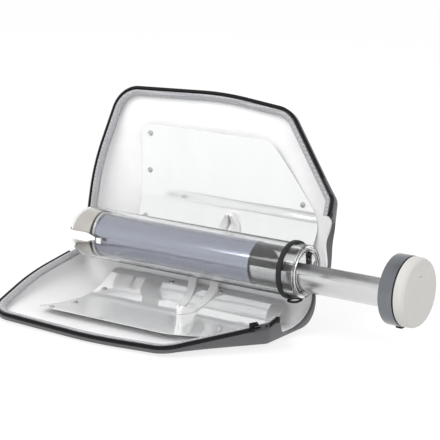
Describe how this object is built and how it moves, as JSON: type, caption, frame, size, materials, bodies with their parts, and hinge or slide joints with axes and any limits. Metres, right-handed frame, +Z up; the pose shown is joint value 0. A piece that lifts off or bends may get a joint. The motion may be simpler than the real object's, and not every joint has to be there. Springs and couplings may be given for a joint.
{
  "type": "solar oven",
  "caption": "Portable solar oven: a vacuum tube with a slide-out steel tray in a hinged, zipped case lined with curved reflectors.",
  "frame": {"origin": "bottom centre of the overall box, on the ground under the open case", "axes": "+X along the tube towards its mouth, +Y to the back, +Z up"},
  "size_m": [0.4702, 0.2486, 0.2383],
  "materials": {
    "case_fabric": "dark grey woven nylon over moulded foam",
    "binding_mesh": "grey padded mesh binding",
    "zipper_black": "moulded black zipper",
    "liner_white": "satin white lining",
    "fin_white": "moulded white plastic",
    "reflector_silver": "polished reflector sheet",
    "bright_steel": "bright",
    "clear_glass": "clear borosilicate",
    "absorber_coating": "glossy blue-grey selective coating",
    "getter_film": "silvery film inside the glass",
    "black_silicone": "matte",
    "cream_strap": "satin",
    "cap_steel": "dark brushed",
    "cap_cream": "fine matte",
    "plug_grey": "dense insulating foam",
    "tray_steel": "polished stainless"
  },
  "bodies": {
    "lower_case": {"lower_binding": "binding_mesh", "lower_chain_stop": "zipper_black", "lower_fin": "fin_white", "lower_liner": "liner_white", "lower_reflector": "reflector_silver", "lower_rivet_1": "bright_steel", "lower_rivet_2": "bright_steel", "lower_rivet_3": "bright_steel", "lower_rivet_4": "bright_steel", "lower_rivet_5": "bright_steel", "lower_rivet_6": "bright_steel", "lower_shell": "case_fabric", "lower_zipper": "zipper_black", "spine_tape": "case_fabric"},
    "upper_case": {"upper_binding": "binding_mesh", "upper_chain_stop": "zipper_black", "upper_fin": "fin_white", "upper_liner": "liner_white", "upper_reflector": "reflector_silver", "upper_rivet_1": "bright_steel", "upper_rivet_2": "bright_steel", "upper_rivet_3": "bright_steel", "upper_rivet_4": "bright_steel", "upper_rivet_5": "bright_steel", "upper_rivet_6": "bright_steel", "upper_shell": "case_fabric", "upper_zipper": "zipper_black"},
    "tube": {"outer_glass": "clear_glass", "inner_glass": "clear_glass", "absorber_coating": "absorber_coating", "getter_film": "getter_film", "support_spring": "bright_steel", "mouth_ring": "black_silicone", "end_strap": "cream_strap", "strap_keeper": "fin_white", "elastic_loop": "black_silicone", "left_saddle": "black_silicone", "right_saddle": "black_silicone"},
    "tray": {"cooking_tray": "tray_steel", "tray_end_plate": "tray_steel", "cap_ring": "cap_steel", "cap_gasket": "black_silicone", "cap_body": "cap_cream", "mouth_seal": "black_silicone", "cap_plug": "plug_grey", "cap_screw_1": "bright_steel", "cap_screw_2": "bright_steel", "cap_tab": "black_silicone"},
    "slider": {"zipper_slider": "zipper_black"},
    "pull": {"zipper_pull": "bright_steel"}
  },
  "joints": [
    {"name": "lid_fold", "type": "hinge", "parent": "lower_case", "child": "upper_case", "pos_m": [0, 0.06681, 0.04949], "axis": [1, 0, 0], "range_deg": [0, 116]},
    {"name": "tube_swing", "type": "hinge", "parent": "lower_case", "child": "tube", "pos_m": [0, 0.06681, 0.04949], "axis": [1, 0, 0], "range_deg": [0, 49]},
    {"name": "tray_slide", "type": "slide", "parent": "tube", "child": "tray", "axis": [1, 0, 0], "range_m": [-0.112, 0.099]},
    {"name": "zipper_slide", "type": "slide", "parent": "lower_case", "child": "slider", "axis": [-0.6236, -0.766, -0.1559], "range_m": [0, 0.075]},
    {"name": "pull_swing", "type": "hinge", "parent": "slider", "child": "pull", "pos_m": [0.08572, -0.043, 0.02715], "axis": [0, 0.1994, -0.9799], "range_deg": [0, 180]}
  ],
  "couplings": [
    {"joint": "tube_swing", "follows": "lid_fold", "ratio": 0.4224}
  ]
}
